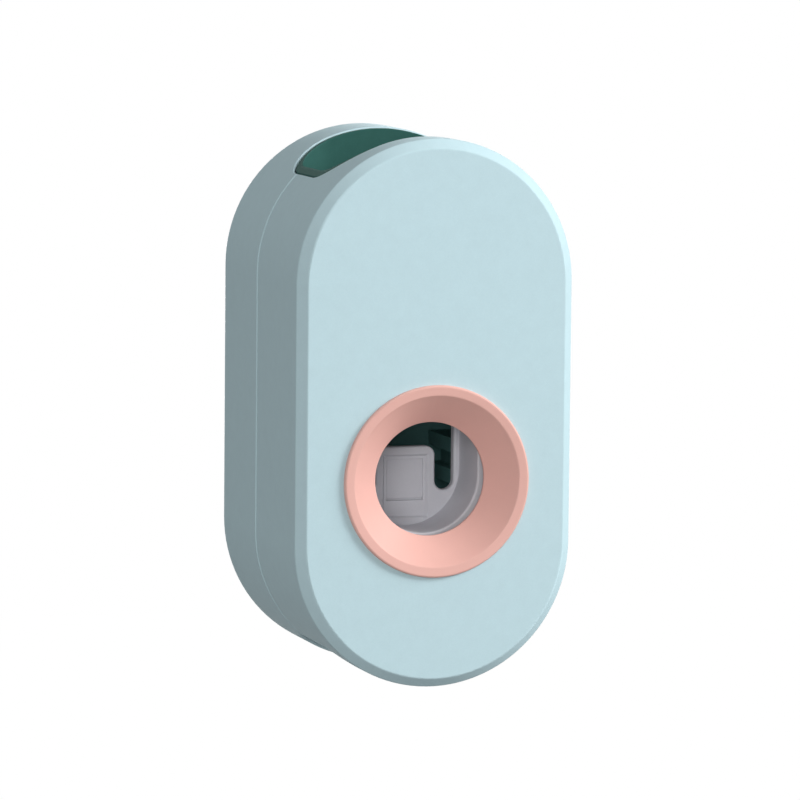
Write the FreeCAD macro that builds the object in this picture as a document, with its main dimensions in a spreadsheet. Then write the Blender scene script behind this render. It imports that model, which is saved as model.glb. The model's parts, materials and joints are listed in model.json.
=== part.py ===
import FreeCAD, Part
import math
import os
import Sketcher
from types import SimpleNamespace
from FreeCAD import Vector

# Wall-hung toothpaste dispenser. Millimetres, +Z up, the front looks along -Y.
# The origin is on the adhesive face at the wall, level with mid-height of the housing.
# "Forward" is the distance from the wall along -Y. Frame, shells and pump lie behind one another along it.

sizes = {
    # Housing: two shells with a stadium outline
    "housing_width": 55.0,
    "housing_height": 105.0,
    "rear_depth": 23.2,
    "cover_depth": 27.8,
    "shell_wall": 2.0,
    "back_wall": 2.2,
    "front_wall": 2.2,
    "front_bevel": 1.8,
    "bevel_soft": 0.5,
    "rear_round": 0.8,
    "seam_bevel": 0.65,
    "cover_bevel": 0.15,
    "lip_length": 2.4,
    "lip_wall": 1.2,
    "lip_play": 0.15,
    "lip_root": 3.0,
    # Openings through both shells, measured from the rear face
    "mouth_half_width": 19.3,
    "mouth_rear": 12.0,
    "mouth_front": 42.8,
    "mouth_rear_corner": 10.0,
    "mouth_front_corner": 10.0,
    "drain_half_width": 17.7,
    "drain_rear": 14.0,
    "drain_front": 44.5,
    "drain_corner": 8.0,
    "opening_soft": 0.3,
    # Hanger plate, its pad and the channel that slides over it
    "pad_thickness": 0.8,
    "pad_half_width": 12.0,
    "pad_inset": 2.0,
    "pad_corner": 3.0,
    "plate_half_width": 15.0,
    "plate_top": 26.0,
    "plate_height": 34.0,
    "plate_corner": 2.0,
    "flange_thickness": 1.8,
    "neck_half_width": 12.7,
    "neck_depth": 1.4,
    "slide_play": 0.3,
    "face_play": 0.1,
    "channel_floor": 1.4,
    "channel_wall": 2.0,
    "window_play": 1.0,
    "block_corner": 4.0,
    # Inner frame
    "frame_seat": 6.2,
    "frame_plate": 2.0,
    "frame_margin": 2.1,
    "frame_top": 24.0,
    "frame_bottom": 27.0,
    "frame_corner": 4.0,
    "frame_screw_inset": 3.2,
    "frame_screw_high": 19.5,
    "frame_screw_low": 22.5,
    "boss_radius": 3.0,
    "rail_length": 35.3,
    "rail_wall": 2.4,
    "rail_flange": 2.8,
    "wing_reach": 2.6,
    "wing_height": 3.0,
    "wing_length": 12.0,
    "rail_play": 0.2,
    "side_play": 0.3,
    # Self-tapping screws
    "screw_shank": 1.0,
    "screw_head": 2.3,
    "screw_head_height": 1.5,
    "screw_crown": 0.6,
    "drive_reach": 1.3,
    "drive_half_width": 0.3,
    "drive_depth": 0.9,
    "frame_screw_length": 5.6,
    "barrel_screw_bite": 0.1,
    "screw_hole_play": 0.25,
    "pilot_play": 0.05,
    "pilot_spare": 0.5,
    # Brush ring in the cover
    "ring_drop": 12.7,
    "ring_outer": 18.45,
    "ring_proud": 0.9,
    "ring_rim_inner": 16.5,
    "ring_dish": 0.2,
    "ring_edge_round": 0.45,
    "ring_throat": 10.95,
    "ring_funnel_depth": 4.9,
    "ring_throat_land": 0.5,
    "ring_wall": 1.2,
    "ring_barrel": 16.9,
    "ring_barrel_depth": 4.2,
    "ring_play": 0.1,
    # Push cup
    "cup_radius": 10.9,
    "cup_wall": 1.5,
    "cup_setback": 7.7,
    "cup_depth": 11.3,
    "cup_back": 1.8,
    "cup_side_top": 10.5,
    "tongue_half_width": 6.0,
    "tongue_top": 4.45,
    "tongue_corner": 1.9,
    "tongue_soft": 0.5,
    "cup_rim_soft": 0.4,
    "slot_width": 3.8,
    "slot_bottom": 4.2,
    "panel_half_width": 4.3,
    "panel_margin": 1.9,
    "panel_recess": 0.45,
    "panel_soft": 0.35,
    "panel_foot": 0.6,
    "inset_border": 0.6,
    "inset_recess": 0.95,
    "inset_step": 5.75,
    "inset_groove": 0.4,
    "groove_recess": 1.3,
    "leg_length": 4.0,
    "yoke_thickness": 3.0,
    "yoke_half_height": 6.0,
    "yoke_corner": 1.2,
    # Return spring
    "spring_drop": 16.5,
    "spring_radius": 3.9,
    "spring_wire": 0.7,
    "spring_pin_radius": 2.8,
    "frame_pin_length": 4.6,
    "cup_pin_length": 5.0,
    # Pump barrel, axis along Y
    "barrel_axis": 13.0,
    "barrel_lead": 9.9,
    "chamber_radius": 6.3,
    "chamber_length": 13.1,
    "barrel_wall": 1.7,
    "lip_thickness": 1.4,
    "gland_radius": 8.0,
    "gland_depth": 5.2,
    "head_radius": 9.5,
    "ear_thickness": 3.0,
    "ear_offset": 13.5,
    "ear_radius": 3.4,
    "flange_radius": 10.0,
    # Tube socket on the barrel
    "socket_forward": 25.6,
    "socket_outer": 9.0,
    "socket_bore": 7.5,
    "socket_top": 33.0,
    "port_radius": 2.8,
    "shoulder_radius": 10.6,
    "shoulder_height": 1.6,
    # Outlet under the barrel
    "outlet_lead": 7.5,
    "spigot_radius": 2.6,
    "spigot_bore": 1.6,
    "spigot_length": 2.6,
    "spout_sleeve": 3.9,
    "spout_radius": 1.9,
    "spout_bore": 1.1,
    "spout_axis": 1.2,
    "nozzle_forward": 37.4,
    "nozzle_drop": 3.0,
    "spout_gap": 0.2,
    # Seals, valve, nut and cap
    "seal_play": 0.05,
    "seat_play": 0.1,
    "valve_disc": 1.5,
    "duckbill_length": 2.6,
    "duckbill_wall": 0.8,
    "duckbill_radius": 2.5,
    "duckbill_tip": 1.3,
    "valve_bore": 1.7,
    "slit_width": 0.5,
    "tube_neck_radius": 5.6,
    "sleeve_lead": 0.8,
    "sleeve_flange": 1.0,
    "gland_seal_length": 3.0,
    "seal_lip": 0.5,
    "nut_flange": 1.0,
    "notch_width": 2.4,
    "notch_depth": 1.2,
    "cap_thickness": 3.0,
    "cap_plug": 1.6,
    "cord_radius": 0.7,
    "cord_ring_radius": 7.8,
    # Plunger
    "plunger_radius": 5.5,
    "plunger_stop": 6.0,
    "plunger_stop_length": 1.2,
    "plunger_play": 0.12,
    "plunger_neck": 4.0,
    "clip_thickness": 1.0,
    "clip_outer": 6.0,
    "clip_inner": 3.2,
    "clip_play": 0.1,
    "clip_gap": 4.8,
    "clip_recess": 1.4,
    # Tube collar in the mouth
    "collar_play": 0.25,
    "collar_wall": 1.2,
    "collar_floor": 2.0,
    "collar_flush": 0.3,
    # How far cutting outlines run past what they cut
    "overrun": 1.0,
}

spring_turns = 9
slot_end_share = 0.48
ear_corner_share = 0.96
touch = 1e-4


class Dim:
    """A length: its value now, and the sheet formula that keeps it up to date."""

    def __init__(self, value, text):
        self.value = value
        self.text = text

    def join(self, sign, other, value):
        text = other.text if isinstance(other, Dim) else repr(other)
        return Dim(value, f"({self.text} {sign} {text})")

    def __add__(self, other):
        return self.join("+", other, self.value + number(other))

    def __sub__(self, other):
        return self.join("-", other, self.value - number(other))

    def __mul__(self, other):
        return self.join("*", other, self.value * number(other))

    def __truediv__(self, other):
        return self.join("/", other, self.value / number(other))

    def __neg__(self):
        return Dim(-self.value, f"(-{self.text})")


def number(item):
    return item.value if isinstance(item, Dim) else item


def leg_of(long_side, short_side):
    """The other leg of a right triangle."""
    value = math.sqrt(long_side.value ** 2 - short_side.value ** 2)
    return Dim(value, f"sqrt({long_side.text} ^ 2 - {short_side.text} ^ 2)")


doc = FreeCAD.newDocument("toothpaste_dispenser")
sheet = doc.addObject("Spreadsheet::Sheet", "sizes")
for row, (alias, amount) in enumerate(sizes.items(), 1):
    sheet.set(f"A{row}", alias)
    sheet.set(f"B{row}", str(amount))
    sheet.setAlias(f"B{row}", alias)
doc.recompute()
size = SimpleNamespace(**{alias: Dim(amount, f"sizes.{alias}") for alias, amount in sizes.items()})

# Places that several pieces share
half_width = size.housing_width / 2
half_height = size.housing_height / 2
inner_half_width = half_width - size.shell_wall
inner_half_height = half_height - size.shell_wall
rear_face = size.pad_thickness
seam = rear_face + size.rear_depth
front_face = seam + size.cover_depth
ring_z = -size.ring_drop
undercut_half = size.plate_half_width + size.slide_play
plate_bottom = size.plate_top - size.plate_height
window_bottom = plate_bottom - size.plate_height - size.window_play
frame_front = size.frame_seat + size.frame_plate
frame_half_width = inner_half_width - size.frame_margin
frame_screw_x = frame_half_width - size.frame_screw_inset
cup_rim = front_face - size.cup_setback
cup_floor_front = cup_rim - size.cup_depth
cup_floor_rear = cup_floor_front - size.cup_back
cup_outer = size.cup_radius + size.cup_wall
yoke_front = cup_rim + size.yoke_thickness
spring_z = -size.spring_drop
barrel_rear = size.socket_forward - size.barrel_lead
outlet_forward = barrel_rear + size.outlet_lead
chamber_front = barrel_rear + size.chamber_length
gland_start = chamber_front + size.lip_thickness
nut_start = gland_start + size.gland_seal_length
head_front = gland_start + size.gland_depth
barrel_outer = size.chamber_radius + size.barrel_wall
barrel_bottom = size.barrel_axis - barrel_outer
socket_floor = size.barrel_axis + size.head_radius
collar_base = size.socket_top - size.collar_floor
cap_rear = barrel_rear - size.cap_thickness
ear_front = barrel_rear + size.ear_thickness
barrel_screw_tip = frame_front - size.barrel_screw_bite
plunger_bore = size.plunger_radius + size.plunger_play
hole_radius = size.screw_shank + size.screw_hole_play
pilot_radius = size.screw_shank + size.pilot_play
ear_end = size.ear_offset + size.ear_radius
frame_screw_places = [(x, z) for x in (-frame_screw_x, frame_screw_x)
                      for z in (-size.frame_screw_low, size.frame_screw_high)]
ear_places = [(x, size.barrel_axis) for x in (-size.ear_offset, size.ear_offset)]


def new_body(label):
    body = doc.addObject("PartDesign::Body", label)
    body.Label = label
    return body


def new_sketch(body, name, role, along=0, across=0, up=0):
    """A sketch on one of the body's own origin planes, moved by the given lengths."""
    sketch = body.newObject("Sketcher::SketchObject", f"{body.Name}_{name}")
    plane = next(item for item in body.Origin.OriginFeatures if item.Role == role)
    sketch.AttachmentSupport = [(plane, "")]
    sketch.MapMode = "FlatFace"
    for axis, shift in (("x", across), ("y", up), ("z", along)):
        if isinstance(shift, Dim):
            sketch.setExpression(f"AttachmentOffset.Base.{axis}", shift.text)
    return sketch


def front_sketch(body, name, forward=0):
    """Drawn in X and Z, as seen from the front, at a distance from the wall."""
    return new_sketch(body, name, "XZ_Plane", along=forward)


def plan_sketch(body, name, height=0):
    """Drawn in X and Y, as seen from above, at a height."""
    return new_sketch(body, name, "XY_Plane", along=height)


def level_section(body, name, height):
    """A half section round a level axis that runs forward at a height: forward is -x, radius is y."""
    return new_sketch(body, name, "YZ_Plane", up=height)


def upright_section(body, name, forward):
    """A half section round an upright axis at a distance from the wall: radius is x, height is y."""
    return new_sketch(body, name, "YZ_Plane", across=-forward)


def bind(sketch, kind, *where, length):
    index = sketch.addConstraint(Sketcher.Constraint(kind, *where, number(length)))
    sketch.setExpression(f"Constraints[{index}]", length.text)


def pin_point(sketch, item, point, x, y):
    """Fixes a point of a sketch item by its two lengths from the sketch's origin."""
    for kind, axis, length in (("DistanceX", -2, x), ("DistanceY", -1, y)):
        if isinstance(length, Dim):
            bind(sketch, kind, -1, 1, item, point, length=length)
        else:
            sketch.addConstraint(Sketcher.Constraint("PointOnObject", item, point, axis))


def flat_point(x, y):
    return Vector(number(x), number(y), 0)


def circle(sketch, x, y, radius):
    item = sketch.addGeometry(Part.Circle(flat_point(x, y), Vector(0, 0, 1), radius.value), False)
    pin_point(sketch, item, 3, x, y)
    bind(sketch, "Radius", item, length=radius)


def rounded_corner(before, at, after, radius):
    """The arc that rounds a corner, and whether it runs from the incoming side to the outgoing one."""
    incoming = (before - at).normalize()
    outgoing = (after - at).normalize()
    half_angle = incoming.getAngle(outgoing) / 2
    centre = at + (incoming + outgoing).normalize() * (radius / math.sin(half_angle))
    reach = radius / math.tan(half_angle)
    first, last = at + incoming * reach, at + outgoing * reach
    left_turn = incoming.cross(outgoing).z < 0
    start, end = (first, last) if left_turn else (last, first)
    angles = [math.atan2(spot.y - centre.y, spot.x - centre.x) for spot in (start, end)]
    arc = Part.ArcOfCircle(Part.Circle(centre, Vector(0, 0, 1), radius), *angles)
    return arc, first, last, left_turn


def outline(sketch, corners):
    """A closed outline of straight sides through corners (x, y) or rounded corners (x, y, radius)."""
    count = len(corners)
    spots = [flat_point(corner[0], corner[1]) for corner in corners]
    rounds = {}
    for index, corner in enumerate(corners):
        if len(corner) == 3:
            after = spots[(index + 1) % count]
            rounds[index] = rounded_corner(spots[index - 1], spots[index], after, corner[2].value)
    sides = []
    for index in range(count):
        following = (index + 1) % count
        start = rounds[index][2] if index in rounds else spots[index]
        end = rounds[following][1] if following in rounds else spots[following]
        sides.append(sketch.addGeometry(Part.LineSegment(start, end), False))
    for index, corner in enumerate(corners):
        incoming, outgoing = sides[index - 1], sides[index]
        if index not in rounds:
            sketch.addConstraint(Sketcher.Constraint("Coincident", incoming, 2, outgoing, 1))
            pin_point(sketch, outgoing, 1, corner[0], corner[1])
            continue
        arc, _, _, left_turn = rounds[index]
        first_end, last_end = (1, 2) if left_turn else (2, 1)
        bend = sketch.addGeometry(arc, False)
        mark = sketch.addGeometry(Part.Point(spots[index]), True)
        sketch.addConstraint(Sketcher.Constraint("Tangent", incoming, 2, bend, first_end))
        sketch.addConstraint(Sketcher.Constraint("Tangent", bend, last_end, outgoing, 1))
        sketch.addConstraint(Sketcher.Constraint("PointOnObject", mark, 1, incoming))
        sketch.addConstraint(Sketcher.Constraint("PointOnObject", mark, 1, outgoing))
        pin_point(sketch, mark, 1, corner[0], corner[1])
        bind(sketch, "Radius", bend, length=corner[2])


def rectangle(sketch, left, right, bottom, top, *radius):
    corners = ((left, bottom), (right, bottom), (right, top), (left, top))
    outline(sketch, [(x, y, *radius) for x, y in corners])


def stadium(sketch, half_wide, half_tall):
    """Two upright sides joined by half circles at top and bottom."""
    rise = half_tall - half_wide
    radius, level = half_wide.value, rise.value
    right = sketch.addGeometry(Part.LineSegment(Vector(radius, -level), Vector(radius, level)), False)
    left = sketch.addGeometry(Part.LineSegment(Vector(-radius, level), Vector(-radius, -level)), False)
    ends = []
    for centre, turn in ((level, 0), (-level, math.pi)):
        ring = Part.Circle(Vector(0, centre), Vector(0, 0, 1), radius)
        ends.append(sketch.addGeometry(Part.ArcOfCircle(ring, turn, turn + math.pi), False))
    upper, lower = ends
    for first, last in ((right, upper), (upper, left), (left, lower), (lower, right)):
        sketch.addConstraint(Sketcher.Constraint("Tangent", first, 2, last, 1))
    pin_point(sketch, upper, 3, 0, rise)
    pin_point(sketch, lower, 3, 0, -rise)
    bind(sketch, "Radius", upper, length=half_wide)


def trough(sketch, radius, centre_z, top_z):
    """A half circle below, with straight upright sides to a flat top."""
    wide, centre, top = radius.value, centre_z.value, top_z.value
    ring = Part.Circle(Vector(0, centre), Vector(0, 0, 1), wide)
    bowl = sketch.addGeometry(Part.ArcOfCircle(ring, math.pi, 2 * math.pi), False)
    right = sketch.addGeometry(Part.LineSegment(Vector(wide, centre), Vector(wide, top)), False)
    across = sketch.addGeometry(Part.LineSegment(Vector(wide, top), Vector(-wide, top)), False)
    left = sketch.addGeometry(Part.LineSegment(Vector(-wide, top), Vector(-wide, centre)), False)
    sketch.addConstraint(Sketcher.Constraint("Tangent", bowl, 2, right, 1))
    sketch.addConstraint(Sketcher.Constraint("Tangent", left, 2, bowl, 1))
    sketch.addConstraint(Sketcher.Constraint("Coincident", right, 2, across, 1))
    sketch.addConstraint(Sketcher.Constraint("Coincident", across, 2, left, 1))
    sketch.addConstraint(Sketcher.Constraint("Vertical", right))
    sketch.addConstraint(Sketcher.Constraint("Vertical", left))
    sketch.addConstraint(Sketcher.Constraint("Horizontal", across))
    pin_point(sketch, bowl, 3, 0, centre_z)
    bind(sketch, "Radius", bowl, length=radius)
    bind(sketch, "DistanceY", -1, 1, right, 2, length=top_z)


def feature_of(body, kind, name, sketch):
    feature = body.newObject(f"PartDesign::{kind}", f"{body.Name}_{name}")
    feature.Profile = sketch
    return feature


def pad(body, name, sketch, length, backward=False):
    feature = feature_of(body, "Pad", name, sketch)
    feature.setExpression("Length", length.text)
    feature.Reversed = backward
    doc.recompute()
    return feature


def must_cut(feature, before):
    doc.recompute()
    if feature.Shape.Volume > before - touch:
        raise ValueError(f"{feature.Name} cuts nothing")
    return feature


def pocket(body, name, sketch, length=None, forward=False):
    """Cuts against the sketch's normal, along it if forward is set, or right through with no length."""
    before = body.Shape.Volume
    feature = feature_of(body, "Pocket", name, sketch)
    if length is None:
        feature.Type = "ThroughAll"
        feature.Midplane = True
    else:
        feature.setExpression("Length", length.text)
        feature.Reversed = forward
    return must_cut(feature, before)


def revolve(body, name, sketch, axis):
    feature = feature_of(body, "Revolution", name, sketch)
    feature.ReferenceAxis = (sketch, [axis])
    feature.Angle = 360
    doc.recompute()
    return feature


def groove(body, name, sketch, axis):
    before = body.Shape.Volume
    feature = feature_of(body, "Groove", name, sketch)
    feature.ReferenceAxis = (sketch, [axis])
    feature.Angle = 360
    return must_cut(feature, before)


def edges_where(feature, test):
    return [f"Edge{index}" for index, edge in enumerate(feature.Shape.Edges, 1) if test(edge)]


def edge_points(edge):
    span = edge.LastParameter - edge.FirstParameter
    return [edge.valueAt(edge.FirstParameter + span * share) for share in (0, 0.5, 1)]


def lies_at(edge, forward):
    return all(abs(spot.y + forward.value) < touch for spot in edge_points(edge))


def reach_of(spot):
    """How far a point lies from the straight middle line between the housing's two half circles."""
    rise = half_height.value - half_width.value
    return math.hypot(spot.x, max(abs(spot.z) - rise, 0))


def on_rim(edge, forward, half_wide):
    """Whether an edge lies on a stadium of this half width, at this distance from the wall."""
    return lies_at(edge, forward) and all(abs(reach_of(spot) - half_wide.value) < touch
                                          for spot in edge_points(edge))


def dress(body, kind, name, base, edges, amount):
    feature = body.newObject(f"PartDesign::{kind}", f"{body.Name}_{name}")
    feature.Base = (base, edges)
    feature.setExpression("Radius" if kind == "Fillet" else "Size", amount.text)
    doc.recompute()
    return feature


def shell_ring(sketch, outer, inner):
    """The band between two stadiums that lie the given lengths inside the housing's outline."""
    stadium(sketch, half_width - outer, half_height - outer)
    stadium(sketch, half_width - inner, half_height - inner)


def mouth_outline(sketch, inset=0):
    """The tube opening, or a line that lies inside it by the inset."""
    side = size.mouth_half_width - inset
    rear = -(rear_face + size.mouth_rear + inset)
    front = -(rear_face + size.mouth_front - inset)
    rear_corner = size.mouth_rear_corner - inset
    front_corner = size.mouth_front_corner - inset
    outline(sketch, [(-side, front, front_corner), (side, front, front_corner),
                     (side, rear, rear_corner), (-side, rear, rear_corner)])


def on_opening_edge(edge):
    """Whether an edge runs round an opening on the outer face of the housing."""
    widest = max(size.mouth_half_width.value, size.drain_half_width.value)
    return all(abs(spot.x) < widest + touch and abs(reach_of(spot) - half_width.value) < touch
               for spot in edge_points(edge))


def cut_openings(body):
    """Cuts the tube opening down through the top, and the drain opening up through the bottom."""
    sketch = plan_sketch(body, "mouth_line", half_height)
    mouth_outline(sketch)
    pocket(body, "mouth", sketch, half_height)
    sketch = plan_sketch(body, "drain_line", -half_height)
    rectangle(sketch, -size.drain_half_width, size.drain_half_width,
              -(rear_face + size.drain_front), -(rear_face + size.drain_rear), size.drain_corner)
    drain = pocket(body, "drain", sketch, half_height, forward=True)
    edges = edges_where(drain, on_opening_edge)
    dress(body, "Fillet", "opening_edges", drain, edges, size.opening_soft)


def bevel_seam(body, base, amount):
    edges = edges_where(base, lambda edge: on_rim(edge, seam, half_width))
    dress(body, "Chamfer", "seam_edge", base, edges, amount)


def cut_outside(body, inset):
    """Trims a body to a stadium that lies inside the housing's outline by the inset."""
    sketch = front_sketch(body, "trim_line", rear_face)
    far = size.housing_height
    rectangle(sketch, -far, far, -far, far)
    stadium(sketch, half_width - inset, half_height - inset)
    pocket(body, "trim", sketch)


def make_rear_shell():
    body = new_body("rear_shell")
    lip = size.neck_depth - size.face_play
    channel_depth = size.neck_depth + size.flange_thickness + size.face_play
    block_half = undercut_half + size.channel_wall

    sketch = front_sketch(body, "wall_line", rear_face)
    shell_ring(sketch, 0, size.shell_wall)
    pad(body, "wall", sketch, size.rear_depth)
    sketch = front_sketch(body, "back_line", rear_face)
    stadium(sketch, half_width, half_height)
    back = pad(body, "back", sketch, size.back_wall)
    edges = edges_where(back, lambda edge: on_rim(edge, rear_face, half_width))
    rounded = dress(body, "Fillet", "rear_edge", back, edges, size.rear_round)
    bevel_seam(body, rounded, size.seam_bevel)
    cut_openings(body)

    sketch = front_sketch(body, "block_line", rear_face)
    rectangle(sketch, -block_half, block_half, window_bottom - size.channel_wall,
              size.plate_top + size.channel_wall, size.block_corner)
    pad(body, "block", sketch, channel_depth + size.channel_floor)
    sketch = front_sketch(body, "boss_line", rear_face + size.back_wall / 2)
    for x, z in frame_screw_places:
        circle(sketch, x, z, size.boss_radius)
    pad(body, "bosses", sketch, size.frame_seat - rear_face - size.back_wall / 2)
    sketch = front_sketch(body, "pilot_line", size.frame_seat)
    for x, z in frame_screw_places:
        circle(sketch, x, z, pilot_radius)
    pocket(body, "pilots", sketch, size.frame_screw_length - size.frame_plate + size.pilot_spare)

    sketch = front_sketch(body, "slot_line", rear_face)
    slot_half = size.neck_half_width + size.slide_play
    rectangle(sketch, -slot_half, slot_half, plate_bottom, size.plate_top)
    pocket(body, "slot", sketch, lip, forward=True)
    sketch = front_sketch(body, "undercut_line", rear_face + lip)
    rectangle(sketch, -undercut_half, undercut_half, plate_bottom, size.plate_top)
    pocket(body, "undercut", sketch, channel_depth - lip, forward=True)
    sketch = front_sketch(body, "window_line", rear_face)
    rectangle(sketch, -undercut_half, undercut_half, window_bottom, plate_bottom)
    pocket(body, "window", sketch, channel_depth, forward=True)
    return body


def make_front_cover():
    body = new_body("front_cover")
    sketch = front_sketch(body, "outer_line", seam)
    stadium(sketch, half_width, half_height)
    block = pad(body, "block", sketch, size.cover_depth)
    edges = edges_where(block, lambda edge: on_rim(edge, front_face, half_width))
    bevelled = dress(body, "Chamfer", "front_edge", block, edges, size.front_bevel)
    bevel_rear = front_face - size.front_bevel
    bevel_inner = half_width - size.front_bevel
    edges = edges_where(bevelled, lambda edge: on_rim(edge, bevel_rear, half_width)
                        or on_rim(edge, front_face, bevel_inner))
    softened = dress(body, "Fillet", "bevel_edges", bevelled, edges, size.bevel_soft)
    bevel_seam(body, softened, size.cover_bevel)

    sketch = front_sketch(body, "cavity_line", seam)
    stadium(sketch, inner_half_width, inner_half_height)
    pocket(body, "cavity", sketch, size.cover_depth - size.front_wall, forward=True)
    lip_face = size.shell_wall + size.lip_play
    sketch = front_sketch(body, "root_line", seam)
    shell_ring(sketch, size.shell_wall / 2, lip_face + size.lip_wall)
    pad(body, "lip_root", sketch, size.lip_root)
    sketch = front_sketch(body, "lip_line", seam)
    shell_ring(sketch, lip_face, lip_face + size.lip_wall)
    pad(body, "lip", sketch, size.lip_length, backward=True)
    cut_openings(body)

    sketch = front_sketch(body, "bore_line", front_face)
    circle(sketch, 0, ring_z, size.ring_barrel + size.ring_play)
    pocket(body, "ring_bore", sketch)
    return body


def make_trim_ring():
    body = new_body("trim_ring")
    rim = front_face + size.ring_proud
    rim_inner = rim - size.ring_dish
    throat = rim - size.ring_funnel_depth
    ring_rear = throat - size.ring_throat_land
    throat_outer = size.ring_throat + size.ring_wall
    barrel_inner = size.ring_barrel - size.ring_wall
    seat_rear = front_face - size.ring_barrel_depth
    slope = (rim_inner - throat) / (size.ring_rim_inner - size.ring_throat)
    cone_front = ring_rear + (barrel_inner - throat_outer) * slope
    sketch = level_section(body, "section", ring_z)
    outline(sketch, [
        (-front_face, size.ring_outer),
        (-rim, size.ring_outer, size.ring_edge_round),
        (-rim_inner, size.ring_rim_inner, size.ring_edge_round),
        (-throat, size.ring_throat),
        (-ring_rear, size.ring_throat),
        (-ring_rear, throat_outer),
        (-cone_front, barrel_inner),
        (-seat_rear, barrel_inner),
        (-seat_rear, size.ring_barrel),
        (-front_face, size.ring_barrel)])
    revolve(body, "ring", sketch, "H_Axis")
    return body


def make_wall_plate():
    body = new_body("wall_plate")
    sketch = front_sketch(body, "neck_line", rear_face)
    rectangle(sketch, -size.neck_half_width, size.neck_half_width,
              plate_bottom, size.plate_top, size.plate_corner)
    pad(body, "neck", sketch, size.neck_depth)
    sketch = front_sketch(body, "flange_line", rear_face + size.neck_depth)
    rectangle(sketch, -size.plate_half_width, size.plate_half_width,
              plate_bottom, size.plate_top, size.plate_corner)
    pad(body, "flange", sketch, size.flange_thickness)
    return body


def make_adhesive_pad():
    body = new_body("adhesive_pad")
    sketch = front_sketch(body, "line")
    rectangle(sketch, -size.pad_half_width, size.pad_half_width,
              plate_bottom + size.pad_inset, size.plate_top - size.pad_inset, size.pad_corner)
    pad(body, "foam", sketch, size.pad_thickness)
    return body


def rail_section(sketch, side):
    """A channel that opens towards the cup, on the side with this sign."""
    slot_half = size.wing_height / 2 + size.rail_play
    rail_half = slot_half + size.rail_flange
    inner = (cup_outer + size.side_play) * side
    slot_end = (cup_outer + size.wing_reach + size.side_play) * side
    outer = slot_end + size.rail_wall * side
    outline(sketch, [
        (inner, ring_z - rail_half), (outer, ring_z - rail_half),
        (outer, ring_z + rail_half), (inner, ring_z + rail_half),
        (inner, ring_z + slot_half), (slot_end, ring_z + slot_half),
        (slot_end, ring_z - slot_half), (inner, ring_z - slot_half)])


def make_core_frame():
    body = new_body("core_frame")
    sketch = front_sketch(body, "plate_line", size.frame_seat)
    rectangle(sketch, -frame_half_width, frame_half_width,
              -size.frame_bottom, size.frame_top, size.frame_corner)
    pad(body, "plate", sketch, size.frame_plate)
    sketch = front_sketch(body, "rail_line", frame_front)
    for side in (-1, 1):
        rail_section(sketch, side)
    pad(body, "rails", sketch, size.rail_length)
    sketch = front_sketch(body, "post_line", frame_front)
    for x, z in ear_places:
        circle(sketch, x, z, size.ear_radius)
    pad(body, "posts", sketch, cap_rear - frame_front)
    sketch = front_sketch(body, "pin_line", frame_front)
    circle(sketch, 0, spring_z, size.spring_pin_radius)
    pad(body, "spring_pin", sketch, size.frame_pin_length)
    sketch = front_sketch(body, "hole_line", frame_front)
    for x, z in frame_screw_places:
        circle(sketch, x, z, hole_radius)
    pocket(body, "holes", sketch)
    sketch = front_sketch(body, "pilot_line", cap_rear)
    for x, z in ear_places:
        circle(sketch, x, z, pilot_radius)
    pocket(body, "pilots", sketch, cap_rear - barrel_screw_tip + size.pilot_spare)
    return body


def drive_cross(sketch, x, z):
    """The outline of a cross recess round a point."""
    near, far = size.drive_half_width, size.drive_reach
    turns = ((near, near), (near, far), (-near, far), (-near, near), (-far, near), (-far, -near),
             (-near, -near), (-near, -far), (near, -far), (near, -near), (far, -near), (far, near))
    outline(sketch, [(x + across, z + up) for across, up in turns])


def make_screws(label, places, seat, length):
    """Pan-head screws whose heads stand forward of the seat."""
    body = new_body(label)
    sketch = front_sketch(body, "head_line", seat)
    for x, z in places:
        circle(sketch, x, z, size.screw_head)
    heads = pad(body, "heads", sketch, size.screw_head_height)
    rim = seat + size.screw_head_height
    edges = edges_where(heads, lambda edge: lies_at(edge, rim))
    dress(body, "Fillet", "crowns", heads, edges, size.screw_crown)
    sketch = front_sketch(body, "shank_line", seat)
    for x, z in places:
        circle(sketch, x, z, size.screw_shank)
    pad(body, "shanks", sketch, length, backward=True)
    sketch = front_sketch(body, "drive_line", rim)
    for x, z in places:
        drive_cross(sketch, x, z)
    pocket(body, "drives", sketch, size.drive_depth)
    return body


def ear_bar(sketch):
    corner = size.ear_radius * ear_corner_share
    rectangle(sketch, -ear_end, ear_end, size.barrel_axis - size.ear_radius,
              size.barrel_axis + size.ear_radius, corner)


def ear_holes(body):
    sketch = front_sketch(body, "ear_hole_line", barrel_rear)
    for x, z in ear_places:
        circle(sketch, x, z, hole_radius)
    pocket(body, "ear_holes", sketch)


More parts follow.
